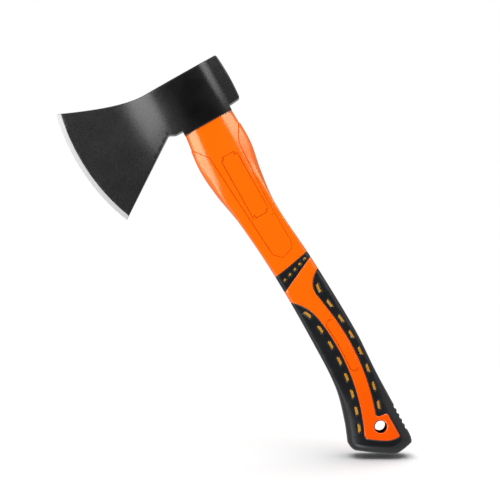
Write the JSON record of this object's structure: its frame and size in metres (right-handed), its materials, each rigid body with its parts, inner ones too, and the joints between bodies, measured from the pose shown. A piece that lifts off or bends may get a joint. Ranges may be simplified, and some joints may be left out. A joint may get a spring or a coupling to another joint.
{
  "type": "hatchet",
  "caption": "Hatchet with a forged black steel head, a flared and bearded blade, a flat poll, and an orange moulded handle with a black rubber grip and a hang hole.",
  "frame": {"origin": "centre of the hang hole, on the middle plane of the handle", "axes": "+Z along the handle towards the head, -X towards the cutting edge and +X towards the poll, +Y along the hang hole"},
  "size_m": [0.1471, 0.03, 0.3882],
  "materials": {
    "black_steel": "black coated forged steel, bright ground edge",
    "black_resin": "cast epoxy, satin",
    "fibreglass": "sawn fibreglass end",
    "orange_plastic": "semi-gloss moulded polypropylene",
    "black_rubber": "matte moulded rubber",
    "amber_plastic": "satin moulded plastic",
    "black_plastic": "satin moulded plastic"
  },
  "bodies": {
    "root": {"axe_head": "black_steel", "eye_resin": "black_resin", "handle_core": "fibreglass", "handle_jacket": "orange_plastic", "grip_band": "black_rubber", "grip_sleeve": "black_rubber", "front_dash_inlays": "amber_plastic", "rear_dash_inlays": "amber_plastic", "band_dot_inlays": "amber_plastic", "hang_hole_sleeve": "black_plastic"}
  },
  "joints": []
}
